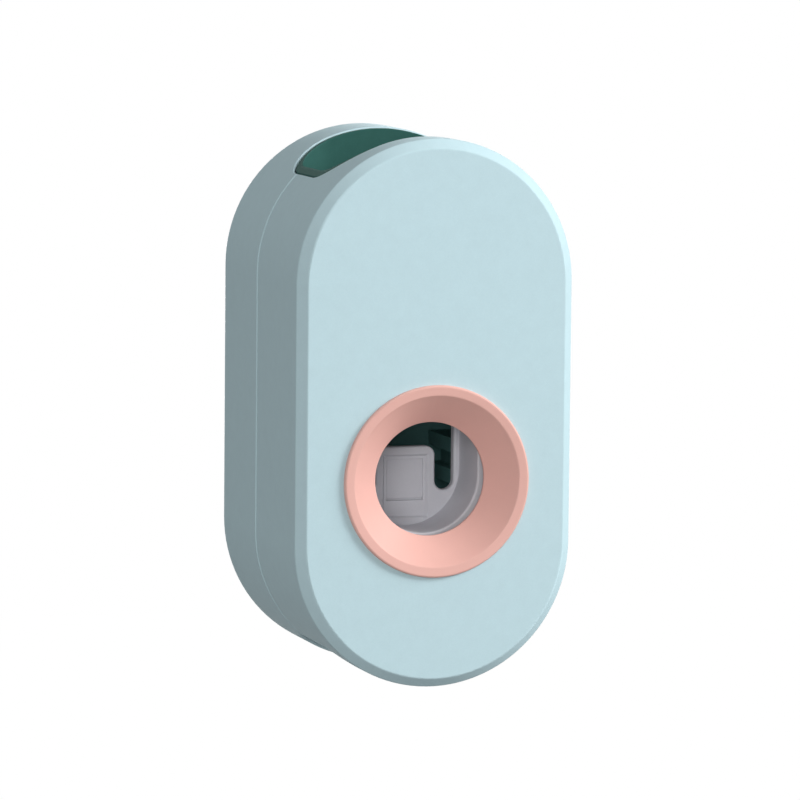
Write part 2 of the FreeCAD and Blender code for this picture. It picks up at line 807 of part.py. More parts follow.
def make_pump_barrel():
    body = new_body("pump_barrel")
    sketch = level_section(body, "outer_section", size.barrel_axis)
    outline(sketch, [
        (-barrel_rear, 0), (-barrel_rear, size.flange_radius),
        (-ear_front, size.flange_radius), (-ear_front, barrel_outer),
        (-chamber_front, barrel_outer), (-chamber_front, size.head_radius),
        (-head_front, size.head_radius), (-head_front, 0)])
    revolve(body, "barrel", sketch, "H_Axis")
    sketch = front_sketch(body, "ear_line", barrel_rear)
    ear_bar(sketch)
    pad(body, "ears", sketch, size.ear_thickness)

    sketch = plan_sketch(body, "socket_line", size.barrel_axis)
    circle(sketch, 0, -size.socket_forward, size.socket_outer)
    pad(body, "socket", sketch, size.socket_top - size.barrel_axis)
    sketch = plan_sketch(body, "shoulder_line", collar_base - size.shoulder_height)
    circle(sketch, 0, -size.socket_forward, size.shoulder_radius)
    pad(body, "shoulder", sketch, size.shoulder_height)
    sketch = plan_sketch(body, "spigot_line", size.barrel_axis)
    circle(sketch, 0, -outlet_forward, size.spigot_radius)
    spigot_reach = barrel_outer + size.spigot_length
    pad(body, "spigot", sketch, spigot_reach, backward=True)

    sketch = level_section(body, "bore_section", size.barrel_axis)
    outline(sketch, [
        (-(barrel_rear - size.overrun), 0), (-(barrel_rear - size.overrun), size.chamber_radius),
        (-chamber_front, size.chamber_radius), (-chamber_front, plunger_bore),
        (-gland_start, plunger_bore), (-gland_start, size.gland_radius),
        (-(head_front + size.overrun), size.gland_radius), (-(head_front + size.overrun), 0)])
    groove(body, "bore", sketch, "H_Axis")
    sketch = plan_sketch(body, "socket_bore_line", size.socket_top)
    circle(sketch, 0, -size.socket_forward, size.socket_bore)
    pocket(body, "socket_bore", sketch, size.socket_top - socket_floor)
    sketch = plan_sketch(body, "port_line", socket_floor)
    circle(sketch, 0, -size.socket_forward, size.port_radius)
    pocket(body, "port", sketch, size.head_radius)
    sketch = plan_sketch(body, "outlet_line", barrel_bottom - size.spigot_length)
    circle(sketch, 0, -outlet_forward, size.spigot_bore)
    pocket(body, "outlet", sketch, spigot_reach, forward=True)
    ear_holes(body)
    return body


def make_end_cap():
    body = new_body("end_cap")
    sketch = front_sketch(body, "bar_line", cap_rear)
    ear_bar(sketch)
    pad(body, "bar", sketch, size.cap_thickness)
    sketch = front_sketch(body, "disc_line", cap_rear)
    circle(sketch, 0, size.barrel_axis, size.flange_radius)
    pad(body, "disc", sketch, size.cap_thickness)
    sketch = front_sketch(body, "plug_line", barrel_rear)
    circle(sketch, 0, size.barrel_axis, size.chamber_radius - size.seat_play)
    pad(body, "plug", sketch, size.cap_plug)
    sketch = front_sketch(body, "groove_line", barrel_rear)
    half_groove = size.cord_radius + size.seat_play
    circle(sketch, 0, size.barrel_axis, size.cord_ring_radius - half_groove)
    circle(sketch, 0, size.barrel_axis, size.cord_ring_radius + half_groove)
    pocket(body, "groove", sketch, half_groove * 2)
    ear_holes(body)
    return body


def make_end_cap_seal():
    body = new_body("end_cap_seal")
    sketch = level_section(body, "section", size.barrel_axis)
    cord_forward = barrel_rear - size.cord_radius - size.seat_play
    circle(sketch, -cord_forward, size.cord_ring_radius, size.cord_radius)
    revolve(body, "ring", sketch, "H_Axis")
    return body


def make_gland_seal():
    body = new_body("gland_seal")
    outer = size.gland_radius - size.seal_play
    middle = (outer + plunger_bore) / 2
    sketch = level_section(body, "section", size.barrel_axis)
    outline(sketch, [
        (-gland_start, plunger_bore), (-nut_start, plunger_bore), (-nut_start, outer), (-gland_start, outer),
        (-gland_start, middle + size.seal_lip), (-(gland_start + size.seal_lip * 2), middle),
        (-gland_start, middle - size.seal_lip)])
    revolve(body, "ring", sketch, "H_Axis")
    return body


def make_gland_nut():
    body = new_body("gland_nut")
    nut_front = head_front + size.nut_flange
    outer = size.gland_radius - size.seal_play
    sketch = level_section(body, "section", size.barrel_axis)
    outline(sketch, [
        (-nut_start, plunger_bore), (-nut_start, outer), (-head_front, outer),
        (-head_front, size.head_radius), (-nut_front, size.head_radius), (-nut_front, plunger_bore)])
    revolve(body, "nut", sketch, "H_Axis")
    sketch = front_sketch(body, "notch_line", nut_front)
    half_notch = size.notch_width / 2
    inner = size.head_radius - size.notch_depth
    outer_end = size.head_radius + size.overrun
    for low, high in ((inner, outer_end), (-outer_end, -inner)):
        rectangle(sketch, -half_notch, half_notch, size.barrel_axis + low, size.barrel_axis + high)
    pocket(body, "notches", sketch, size.nut_flange)
    return body


def make_inlet_valve():
    body = new_body("inlet_valve")
    tip = socket_floor - size.duckbill_length
    disc_top = socket_floor + size.valve_disc
    rim = size.socket_bore - size.seal_play
    sketch = upright_section(body, "section", size.socket_forward)
    outline(sketch, [
        (0, tip), (size.duckbill_tip, tip), (size.duckbill_radius, socket_floor), (rim, socket_floor),
        (rim, disc_top), (size.valve_bore, disc_top), (0, tip + size.duckbill_wall)])
    revolve(body, "valve", sketch, "V_Axis")
    sketch = plan_sketch(body, "slit_line", tip)
    half_slit = size.slit_width / 2
    rectangle(sketch, -size.duckbill_tip, size.duckbill_tip,
              -(size.socket_forward + half_slit), -(size.socket_forward - half_slit))
    pocket(body, "slit", sketch, size.duckbill_wall + size.slit_width, forward=True)
    return body


def make_inlet_seal():
    body = new_body("inlet_seal")
    bottom = socket_floor + size.valve_disc
    top = size.socket_top + size.sleeve_flange
    outer = size.socket_bore - size.seal_play
    sketch = upright_section(body, "section", size.socket_forward)
    outline(sketch, [
        (size.tube_neck_radius, bottom), (outer, bottom), (outer, size.socket_top),
        (size.socket_outer, size.socket_top), (size.socket_outer, top),
        (size.tube_neck_radius + size.sleeve_lead, top), (size.tube_neck_radius, top - size.sleeve_lead)])
    revolve(body, "sleeve", sketch, "V_Axis")
    return body


def make_tube_collar():
    body = new_body("tube_collar")
    sketch = plan_sketch(body, "outer_line", collar_base)
    mouth_outline(sketch, size.collar_play)
    pad(body, "block", sketch, half_height - collar_base)
    sketch = plan_sketch(body, "inner_line", half_height)
    mouth_outline(sketch, size.collar_play + size.collar_wall)
    pocket(body, "well", sketch, half_height - size.socket_top)
    cut_outside(body, size.collar_flush)
    sketch = plan_sketch(body, "hole_line", size.socket_top)
    circle(sketch, 0, -size.socket_forward, size.socket_outer + size.seat_play)
    pocket(body, "socket_hole", sketch, size.collar_floor)
    return body


def make_outlet_spout():
    body = new_body("outlet_spout")
    top = barrel_bottom - size.spout_gap
    base = size.spout_axis - size.spout_radius
    nozzle_tip = size.spout_axis - size.nozzle_drop
    spigot_end = barrel_bottom - size.spigot_length
    reach = size.nozzle_forward - outlet_forward
    sketch = plan_sketch(body, "sleeve_line", base)
    circle(sketch, 0, -outlet_forward, size.spout_sleeve)
    pad(body, "sleeve", sketch, top - base)
    sketch = front_sketch(body, "tube_line", outlet_forward)
    circle(sketch, 0, size.spout_axis, size.spout_radius)
    pad(body, "tube", sketch, reach)
    sketch = plan_sketch(body, "nozzle_line", nozzle_tip)
    circle(sketch, 0, -size.nozzle_forward, size.spout_radius)
    pad(body, "nozzle", sketch, size.nozzle_drop + size.spout_radius)
    sketch = plan_sketch(body, "spigot_line", top)
    circle(sketch, 0, -outlet_forward, size.spigot_radius + size.seal_play)
    pocket(body, "spigot_seat", sketch, top - spigot_end)
    sketch = plan_sketch(body, "drop_line", spigot_end)
    circle(sketch, 0, -outlet_forward, size.spigot_bore)
    pocket(body, "drop", sketch, spigot_end - size.spout_axis)
    sketch = front_sketch(body, "duct_line", outlet_forward)
    circle(sketch, 0, size.spout_axis, size.spout_bore)
    pocket(body, "duct", sketch, reach, forward=True)
    sketch = plan_sketch(body, "outlet_line", nozzle_tip)
    circle(sketch, 0, -size.nozzle_forward, size.spout_bore)
    pocket(body, "outlet", sketch, size.nozzle_drop, forward=True)
    return body


def in_trough(edge):
    """Whether an edge runs along the inner face of the cup."""
    reaches = [math.hypot(spot.x, min(spot.z - ring_z.value, 0)) for spot in edge_points(edge)]
    return all(abs(reach - size.cup_radius.value) < touch for reach in reaches)


def on_tongue(edge):
    """Whether an edge runs round the slots beside the tongue, or along the tongue's top."""
    slot_outer = size.tongue_half_width + size.slot_width
    low = ring_z - size.slot_bottom
    return all(abs(spot.x) < slot_outer.value + touch and spot.z > low.value - touch
               for spot in edge_points(edge))


def on_panel(edge):
    """Whether an edge runs round the panel that is sunk into the tongue."""
    top = ring_z + size.tongue_top - size.panel_margin
    return all(abs(spot.x) < size.panel_half_width.value + touch and spot.z < top.value + touch
               for spot in edge_points(edge))


def make_push_cup():
    body = new_body("push_cup")
    side_top = ring_z + size.cup_side_top
    sketch = front_sketch(body, "outer_line", cup_floor_rear)
    trough(sketch, cup_outer, ring_z, side_top)
    pad(body, "block", sketch, size.cup_back + size.cup_depth)
    sketch = front_sketch(body, "inner_line", cup_rim)
    trough(sketch, size.cup_radius, ring_z, side_top + size.overrun)
    hollow = pocket(body, "hollow", sketch, size.cup_depth)
    edges = edges_where(hollow, lambda edge: lies_at(edge, cup_rim) and in_trough(edge))
    dress(body, "Fillet", "rim_edge", hollow, edges, size.cup_rim_soft)

    slot_outer = size.tongue_half_width + size.slot_width
    slot_low = ring_z - size.slot_bottom
    tongue_z = ring_z + size.tongue_top
    slot_round = size.slot_width * slot_end_share
    sketch = front_sketch(body, "slot_line", cup_floor_front)
    outline(sketch, [
        (-slot_outer, side_top + size.overrun), (-slot_outer, slot_low, slot_round),
        (-size.tongue_half_width, slot_low, slot_round),
        (-size.tongue_half_width, tongue_z, size.tongue_corner),
        (size.tongue_half_width, tongue_z, size.tongue_corner),
        (size.tongue_half_width, slot_low, slot_round),
        (slot_outer, slot_low, slot_round), (slot_outer, side_top + size.overrun)])
    slots = pocket(body, "slots", sketch)
    edges = edges_where(slots, lambda edge: lies_at(edge, cup_floor_front) and on_tongue(edge))
    dress(body, "Fillet", "tongue_edges", slots, edges, size.tongue_soft)
    panel_top = tongue_z - size.panel_margin
    panel_rim = size.panel_half_width + size.panel_soft
    panel_low = ring_z - leg_of(size.cup_radius, panel_rim) + size.panel_foot
    sketch = front_sketch(body, "panel_line", cup_floor_front)
    rectangle(sketch, -size.panel_half_width, size.panel_half_width, panel_low, panel_top)
    panel = pocket(body, "panel", sketch, size.panel_recess)
    edges = edges_where(panel, lambda edge: lies_at(edge, cup_floor_front) and on_panel(edge))
    dress(body, "Chamfer", "panel_edges", panel, edges, size.panel_soft)
    inset_half = size.panel_half_width - size.inset_border
    step_z = ring_z - size.inset_step
    sketch = front_sketch(body, "inset_line", cup_floor_front)
    rectangle(sketch, -inset_half, inset_half, step_z, panel_top - size.inset_border)
    pocket(body, "inset", sketch, size.inset_recess)
    sketch = front_sketch(body, "groove_line", cup_floor_front)
    rectangle(sketch, -inset_half, inset_half, step_z - size.inset_groove, step_z)
    pocket(body, "groove", sketch, size.groove_recess)

    yoke_top = size.barrel_axis + size.yoke_half_height
    leg_root = side_top - size.cup_wall
    sketch = front_sketch(body, "leg_line", cup_rim - size.leg_length)
    for side in (-1, 1):
        outline(sketch, [(cup_outer * side, leg_root), (cup_outer * side, yoke_top, size.yoke_corner),
                         (size.cup_radius * side, yoke_top), (size.cup_radius * side, leg_root)])
    pad(body, "legs", sketch, size.leg_length)
    sketch = front_sketch(body, "yoke_line", cup_rim)
    yoke_bottom = size.barrel_axis - size.yoke_half_height
    rectangle(sketch, -cup_outer, cup_outer, yoke_bottom, yoke_top, size.yoke_corner)
    pad(body, "yoke", sketch, size.yoke_thickness)
    sketch = front_sketch(body, "neck_line", cup_rim)
    circle(sketch, 0, size.barrel_axis, size.plunger_neck + size.clip_play)
    pocket(body, "neck_hole", sketch)
    sketch = front_sketch(body, "recess_line", yoke_front)
    circle(sketch, 0, size.barrel_axis, size.clip_outer + size.clip_play)
    pocket(body, "clip_recess", sketch, size.clip_recess)

    sketch = front_sketch(body, "wing_line", cup_floor_rear)
    half_wing = size.wing_height / 2
    root = cup_outer - size.cup_wall / 2
    tip = cup_outer + size.wing_reach
    for left, right in ((-tip, -root), (root, tip)):
        rectangle(sketch, left, right, ring_z - half_wing, ring_z + half_wing)
    pad(body, "wings", sketch, size.wing_length)
    sketch = front_sketch(body, "pin_line", cup_floor_rear)
    circle(sketch, 0, spring_z, size.spring_pin_radius)
    pad(body, "spring_pin", sketch, size.cup_pin_length, backward=True)
    return body


def make_plunger():
    body = new_body("plunger")
    tip = chamber_front - size.plunger_stop_length
    clip_rear = yoke_front - size.clip_recess
    clip_front = clip_rear + size.clip_thickness + size.clip_play
    sketch = level_section(body, "section", size.barrel_axis)
    outline(sketch, [
        (-tip, 0), (-tip, size.plunger_stop), (-chamber_front, size.plunger_stop),
        (-chamber_front, size.plunger_radius), (-cup_rim, size.plunger_radius),
        (-cup_rim, size.plunger_neck), (-clip_rear, size.plunger_neck),
        (-clip_rear, size.clip_inner), (-clip_front, size.clip_inner),
        (-clip_front, size.plunger_neck), (-yoke_front, size.plunger_neck), (-yoke_front, 0)])
    revolve(body, "rod", sketch, "H_Axis")
    return body


def make_plunger_clip():
    body = new_body("plunger_clip")
    sketch = front_sketch(body, "ring_line", yoke_front - size.clip_recess)
    circle(sketch, 0, size.barrel_axis, size.clip_outer)
    circle(sketch, 0, size.barrel_axis, size.clip_inner + size.clip_play)
    pad(body, "ring", sketch, size.clip_thickness)
    sketch = front_sketch(body, "gap_line", yoke_front)
    half_gap = size.clip_gap / 2
    gap_end = size.barrel_axis - size.clip_outer - size.overrun
    rectangle(sketch, -half_gap, half_gap, gap_end, size.barrel_axis)
    pocket(body, "gap", sketch)
    return body


def biarc(start, start_way, end, end_way):
    """Two arcs that leave and arrive in the given directions and meet smoothly half way."""
    chord = end - start
    ways = start_way + end_way
    square = 2 * (1 - start_way.dot(end_way))
    product = chord.dot(ways)
    reach = (math.sqrt(product ** 2 + square * chord.dot(chord)) - product) / square
    first_control = start + start_way * reach
    last_control = end - end_way * reach
    middle = (first_control + last_control) / 2
    return [arc_to(start, first_control, middle), arc_to(middle, last_control, end)]


def arc_to(start, control, end):
    """The arc that touches the lines from its control point at both ends."""
    middle = (start + end) / 2
    reach = (control - start).Length
    half_chord = (end - start).Length / 2
    cosine = half_chord / reach
    height = half_chord * math.tan(math.acos(cosine) / 2)
    crown = middle + (control - middle).normalize() * height
    return Part.Arc(start, crown, end).toShape()


def make_return_spring():
    wire = size.spring_wire.value
    radius = size.spring_radius.value
    start = frame_front.value + wire / 2
    travel = cup_floor_rear.value - wire / 2 - start
    centre_z = spring_z.value
    rise = travel / (spring_turns * 2 * math.pi)

    def helix(angle):
        height = centre_z + radius * math.sin(angle)
        spot = Vector(radius * math.cos(angle), -(start + rise * angle), height)
        way = Vector(-radius * math.sin(angle), -rise, radius * math.cos(angle)).normalize()
        return spot, way

    edges = []
    for half_turn in range(2 * spring_turns):
        edges += biarc(*helix(half_turn * math.pi), *helix((half_turn + 1) * math.pi))
    path = Part.Wire(edges)
    spot, way = helix(0)
    section = Part.Wire(Part.Circle(spot, way, wire / 2).toShape())
    coil = path.makePipeShell([section], True, False)
    spring = doc.addObject("Part::Feature", "return_spring")
    spring.Label = "return_spring"
    spring.Shape = coil
    print("spring gap", round(travel / spring_turns - wire, 3), "volume share",
          round(coil.Volume / (math.pi * wire ** 2 / 4 * path.Length), 4))
    return spring


pieces = [
    make_adhesive_pad(), make_wall_plate(), make_rear_shell(), make_core_frame(),
    make_screws("frame_screws", frame_screw_places, frame_front, size.frame_screw_length),
    make_pump_barrel(),
    make_screws("barrel_screws", ear_places, ear_front, ear_front - barrel_screw_tip),
    make_end_cap(), make_end_cap_seal(), make_gland_seal(), make_gland_nut(), make_inlet_valve(),
    make_inlet_seal(), make_tube_collar(), make_outlet_spout(), make_return_spring(),
    make_front_cover(), make_trim_ring(), make_push_cup(), make_plunger(), make_plunger_clip()]
doc.recompute()

for item in doc.Objects:
    if "Invalid" in item.State or "Error" in item.State:
        raise ValueError(f"{item.Name} failed: {item.State}")
for piece in pieces:
    if piece.Shape.isNull() or not piece.Shape.isValid() or not piece.Shape.Solids:
        raise ValueError(f"{piece.Label} has no valid solid")

os.makedirs("parts", exist_ok=True)
for piece in pieces:
    piece.Shape.exportStep(f"parts/{piece.Label}.step")
    print(piece.Label, len(piece.Shape.Solids), round(piece.Shape.Volume, 1))
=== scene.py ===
import json
import math
import bmesh
import bpy
import numpy as np
from mathutils import Matrix, Vector


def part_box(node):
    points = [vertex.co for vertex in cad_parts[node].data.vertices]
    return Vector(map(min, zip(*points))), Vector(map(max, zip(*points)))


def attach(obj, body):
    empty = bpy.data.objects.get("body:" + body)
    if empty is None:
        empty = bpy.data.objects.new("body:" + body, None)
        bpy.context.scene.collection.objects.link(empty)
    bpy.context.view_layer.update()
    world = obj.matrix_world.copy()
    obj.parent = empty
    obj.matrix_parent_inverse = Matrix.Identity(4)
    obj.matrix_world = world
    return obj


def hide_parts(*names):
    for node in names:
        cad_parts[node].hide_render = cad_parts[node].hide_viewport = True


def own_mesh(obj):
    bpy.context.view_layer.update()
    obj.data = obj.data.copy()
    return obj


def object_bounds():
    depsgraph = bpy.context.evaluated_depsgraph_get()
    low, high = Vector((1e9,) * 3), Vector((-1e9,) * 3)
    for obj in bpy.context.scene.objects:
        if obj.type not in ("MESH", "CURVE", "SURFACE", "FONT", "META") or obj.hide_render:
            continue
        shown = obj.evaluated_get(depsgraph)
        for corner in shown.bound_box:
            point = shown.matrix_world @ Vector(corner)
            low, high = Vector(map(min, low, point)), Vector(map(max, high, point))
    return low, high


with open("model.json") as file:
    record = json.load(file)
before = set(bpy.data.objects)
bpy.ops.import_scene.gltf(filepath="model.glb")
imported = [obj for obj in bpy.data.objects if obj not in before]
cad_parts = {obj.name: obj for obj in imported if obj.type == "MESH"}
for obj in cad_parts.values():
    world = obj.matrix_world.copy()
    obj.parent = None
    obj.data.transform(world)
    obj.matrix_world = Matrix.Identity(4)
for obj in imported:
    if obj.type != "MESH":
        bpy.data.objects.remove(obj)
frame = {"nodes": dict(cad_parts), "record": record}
nodes = frame["nodes"]
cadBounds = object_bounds()
scene = bpy.context.scene
scene.view_settings.view_transform = "Standard"
mm = 0.001  # lengths below are written in millimetres and turned into metres with this
print("frame loaded,", len(nodes), "nodes")


# Node helpers: an input is either a plain value or a socket to link from

def addNode(tree, kind, inputs=None, **settings):
    node = tree.nodes.new(kind)
    for key, value in settings.items():
        setattr(node, key, value)
    for key, value in (inputs or {}).items():
        if isinstance(value, bpy.types.NodeSocket):
            tree.links.new(value, node.inputs[key])
        else:
            node.inputs[key].default_value = value
    return node


def newMaterial(name):
    material = bpy.data.materials.new(name)
    material.use_nodes = True
    material.node_tree.nodes.clear()
    return material, material.node_tree


def blendColors(tree, factor, low, high):
    mix = addNode(tree, "ShaderNodeMix", {0: factor, 6: low, 7: high}, data_type="RGBA")
    return mix.outputs[2]


def spread(tree, factor, low, high):
    return addNode(tree, "ShaderNodeMapRange", {"Value": factor, "From Min": 0.25, "From Max": 0.75,
                                                "To Min": low, "To Max": high}).outputs["Result"]


def roughSpan(tree, factor, look):
    middle, reach = look["roughness"], look["roughSpread"]
    return spread(tree, factor, middle - reach, middle + reach)


def shade(color, share):
    return tuple(min(1.0, part * share) for part in color) + (1.0,)


def finishSurface(tree, shader):
    output = addNode(tree, "ShaderNodeOutputMaterial")
    tree.links.new(shader.outputs[0], output.inputs["Surface"])


# Rubbed and lit edges: near an outward edge the solid behind the surface is thin, which the inside occlusion
# measures; there the colour is made lighter, partly as rubbed wear and partly as a painted highlight

wornEdgeHighlightLook = {"whole": 0.85, "bareAndLit": 0.45, "patchLow": 0.6, "patchHigh": 1.0, "samples": 4}


def wornEdgesAndHighlight(tree, reach, cloud):
    thin = addNode(tree, "ShaderNodeAmbientOcclusion", {"Distance": reach * mm}, samples=wornEdgeHighlightLook["samples"],
                   inside=True, only_local=True).outputs["AO"]
    bareAndLit = addNode(tree, "ShaderNodeMapRange", {"Value": thin, "From Min": wornEdgeHighlightLook["whole"],
                                                "From Max": wornEdgeHighlightLook["bareAndLit"]}).outputs["Result"]
    patchy = addNode(tree, "ShaderNodeMapRange", {"Value": cloud, "To Min": wornEdgeHighlightLook["patchLow"],
                                                  "To Max": wornEdgeHighlightLook["patchHigh"]}).outputs["Result"]
    return addNode(tree, "ShaderNodeMath", {0: bareAndLit, 1: patchy}, operation="MULTIPLY").outputs[0]


# Moulded plastic: a slow cloud of colour, a fine spark-eroded grain in roughness and bump, soft edges lightened
# partly as rubbed wear and partly as a painted highlight

def mouldedPlastic(name, look):
    material, tree = newMaterial(name)
    coords = addNode(tree, "ShaderNodeTexCoord").outputs["Object"]
    cloud = addNode(tree, "ShaderNodeTexNoise", {"Vector": coords, "Scale": 1 / (look["cloudSize"] * mm),
                                                 "Detail": 3.0, "Roughness": 0.6}).outputs[0]
    grain = addNode(tree, "ShaderNodeTexNoise", {"Vector": coords, "Scale": 1 / (look["grainSize"] * mm),
                                                 "Detail": 2.0, "Roughness": 0.5}).outputs[0]
    slow = spread(tree, cloud, 0.0, 1.0)
    fine = spread(tree, grain, 0.0, 1.0)
    dull = blendColors(tree, slow, shade(look["color"], 1 - look["cloudTint"]),
                       shade(look["color"], 1 + look["cloudTint"]))
    wearHighlight = wornEdgesAndHighlight(tree, look["wearHighlightReach"], slow)
    # the outward edges take a lighter colour: partly rubbed wear, partly a painted highlight
    wornAndLitColor = blendColors(tree, wearHighlight, dull, shade(look["color"], look["wearHighlightTint"]))
    speck = addNode(tree, "ShaderNodeMix", {0: look["grainTint"], 6: wornAndLitColor, 7: fine}, data_type="RGBA",
                    blend_type="SOFT_LIGHT").outputs[2]
    rough = roughSpan(tree, grain, look)
    edge = addNode(tree, "ShaderNodeBevel", {"Radius": look["edgeSoft"] * mm}, samples=6).outputs[0]
    bump = addNode(tree, "ShaderNodeBump", {"Height": grain, "Strength": look["grainStrength"],
                                            "Distance": look["grainDepth"] * mm, "Normal": edge}).outputs[0]
    shader = addNode(tree, "ShaderNodeBsdfPrincipled",
                     {"Base Color": speck, "Roughness": rough, "Normal": bump})
    shader.inputs["Specular IOR Level"].default_value = look["specular"]
    shader.inputs["Subsurface Weight"].default_value = look.get("glow", 0.0)
    shader.inputs["Subsurface Radius"].default_value = (1.0, 0.8, 0.7)
    shader.inputs["Subsurface Scale"].default_value = look.get("glowDepth", 0.5) * mm
    finishSurface(tree, shader)
    return material


# the edge tint in each look lightens outward edges, partly as rubbed wear and partly as a painted highlight
shellLook = {"color": (0.52, 0.69, 0.74), "cloudSize": 2.2, "cloudTint": 0.018, "grainSize": 0.22,
             "grainTint": 0.05, "roughness": 0.5, "roughSpread": 0.06, "edgeSoft": 0.15,
             "grainStrength": 0.25, "grainDepth": 0.012, "specular": 0.02, "wearHighlightReach": 0.45, "wearHighlightTint": 1.3}
ringLook = {"color": (0.77, 0.445, 0.39), "cloudSize": 3.0, "cloudTint": 0.012, "grainSize": 0.18,
            "grainTint": 0.03, "roughness": 0.36, "roughSpread": 0.05, "edgeSoft": 0.12,
            "grainStrength": 0.12, "grainDepth": 0.01, "specular": 0.15, "wearHighlightReach": 0.35, "wearHighlightTint": 1.12}
cupLook = {"color": (0.61, 0.61, 0.65), "cloudSize": 2.6, "cloudTint": 0.02, "grainSize": 0.2,
           "grainTint": 0.04, "roughness": 0.42, "roughSpread": 0.06, "edgeSoft": 0.2, "grainStrength": 0.2,
           "grainDepth": 0.012, "specular": 0.3, "wearHighlightReach": 0.5, "wearHighlightTint": 1.16}
coreLook = {"color": (0.034, 0.108, 0.094), "cloudSize": 2.4, "cloudTint": 0.04, "grainSize": 0.2,
            "grainTint": 0.05, "roughness": 0.44, "roughSpread": 0.06, "edgeSoft": 0.2,
            "grainStrength": 0.25, "grainDepth": 0.012, "specular": 0.02, "wearHighlightReach": 0.4, "wearHighlightTint": 1.3}
plateLook = {"color": (0.70, 0.73, 0.74), "cloudSize": 2.4, "cloudTint": 0.015, "grainSize": 0.25,
             "grainTint": 0.05, "roughness": 0.5, "roughSpread": 0.07, "edgeSoft": 0.15,
             "grainStrength": 0.3, "grainDepth": 0.014, "specular": 0.2, "wearHighlightReach": 0.4, "wearHighlightTint": 1.08}
pumpLook = {"color": (0.78, 0.79, 0.78), "cloudSize": 4.0, "cloudTint": 0.015, "grainSize": 0.4,
            "grainTint": 0.02, "roughness": 0.28, "roughSpread": 0.05, "edgeSoft": 0.15,
            "grainStrength": 0.06, "grainDepth": 0.01, "specular": 0.5, "glow": 0.15, "glowDepth": 0.6,
            "wearHighlightReach": 0.3, "wearHighlightTint": 1.05}
siliconeLook = {"color": (0.66, 0.68, 0.67), "cloudSize": 3.0, "cloudTint": 0.02, "grainSize": 0.5,
                "grainTint": 0.02, "roughness": 0.38, "roughSpread": 0.06, "edgeSoft": 0.1,
                "grainStrength": 0.05, "grainDepth": 0.01, "specular": 0.4, "glow": 0.35, "glowDepth": 1.2,
                "wearHighlightReach": 0.3, "wearHighlightTint": 1.06}

plasticLooks = {"shell": shellLook, "ring": ringLook, "cup": cupLook, "core": coreLook, "plate": plateLook,
                "pump": pumpLook, "silicone": siliconeLook}
finishes = {slot: mouldedPlastic(slot + "Plastic", look) for slot, look in plasticLooks.items()}


# Drawn steel: fine lengthwise scratches from a noise that is stretched along one axis

steelLook = {"color": (0.56, 0.57, 0.58), "darkest": 0.86, "palest": 1.12, "scratchSize": 0.12, "stretch": 30.0,
             "roughness": 0.27, "roughSpread": 0.09, "scratchStrength": 0.15, "scratchDepth": 0.006}


def drawnSteel(name, look):
    material, tree = newMaterial(name)
    coords = addNode(tree, "ShaderNodeTexCoord").outputs["Object"]
    turned = addNode(tree, "ShaderNodeMapping",
                     {"Vector": coords, "Scale": (1.0, 1 / look["stretch"], 1.0)}).outputs[0]
    scratch = addNode(tree, "ShaderNodeTexNoise", {"Vector": turned, "Scale": 1 / (look["scratchSize"] * mm),
                                                   "Detail": 3.0}).outputs[0]
    color = blendColors(tree, scratch, shade(look["color"], look["darkest"]),
                        shade(look["color"], look["palest"]))
    rough = roughSpan(tree, scratch, look)
    bump = addNode(tree, "ShaderNodeBump", {"Height": scratch, "Strength": look["scratchStrength"],
                                            "Distance": look["scratchDepth"] * mm}).outputs[0]
    shader = addNode(tree, "ShaderNodeBsdfPrincipled",
                     {"Base Color": color, "Roughness": rough, "Normal": bump})
    shader.inputs["Metallic"].default_value = 1.0
    finishSurface(tree, shader)
    return material


finishes["steel"] = drawnSteel("drawnSteel", steelLook)


# Closed-cell foam: small dimples where cells are cut open, with painted shade that darkens the colour towards
# each dimple's middle

foamLook = {"color": (0.75, 0.75, 0.72), "cellSize": 0.35, "cellHollowShade": 0.12, "roughness": 0.85,
            "cellStrength": 0.6, "cellDepth": 0.05}


def cellFoam(name, look):
    material, tree = newMaterial(name)
    coords = addNode(tree, "ShaderNodeTexCoord").outputs["Object"]
    cells = addNode(tree, "ShaderNodeTexVoronoi", {"Vector": coords, "Scale": 1 / (look["cellSize"] * mm)},
                    feature="F1").outputs["Distance"]
    # painted shade: the colour darkens towards the middle of each cut cell, where the dimple is deepest
    color = blendColors(tree, cells, shade(look["color"], 1 - look["cellHollowShade"]), shade(look["color"], 1.0))
    bump = addNode(tree, "ShaderNodeBump", {"Height": cells, "Strength": look["cellStrength"],
                                            "Distance": look["cellDepth"] * mm}).outputs[0]
    shader = addNode(tree, "ShaderNodeBsdfPrincipled", {"Base Color": color, "Normal": bump})
    shader.inputs["Roughness"].default_value = look["roughness"]
    finishSurface(tree, shader)
    return material


finishes["foam"] = cellFoam("cellFoam", foamLook)

# the frame's green is written paler than the collar's, because it is seen only deep in the housing's shade
frameLook = dict(coreLook, color=(0.1, 0.22, 0.215))
ownFinishes = {"core_frame": mouldedPlastic("framePlastic", frameLook)}

for part in frame["record"]["subparts"]:
    mesh = nodes[part["node"]].data
    mesh.materials.clear()
    mesh.materials.append(ownFinishes.get(part["node"], finishes[part["material_slot"]]))
print("finishes laid on", len(nodes), "nodes")


# Mesh helpers: grids of points, rows by columns, become closed skins of quads

def gridFaces(rows, columns, ringed):
    # the columns always run round and meet; ringed rows do too, others end in one many-sided face each
    row = np.arange(rows if ringed else rows - 1)[:, None]
    column = np.arange(columns)[None, :]
    after, beside = (row + 1) % rows, (column + 1) % columns
    quads = np.stack([row * columns + column, row * columns + beside, after * columns + beside,
                      after * columns + column], axis=-1).reshape(-1, 4).tolist()
    if ringed:
        return quads
    return quads + [list(range(columns))[::-1], list(range((rows - 1) * columns, rows * columns))]


def turnOutwards(mesh):
    # every skin is one closed surface, so its faces can all be turned to look away from its inside
    skin = bmesh.new()
    skin.from_mesh(mesh)
    bmesh.ops.recalc_face_normals(skin, faces=skin.faces)
    skin.to_mesh(mesh)
    skin.free()


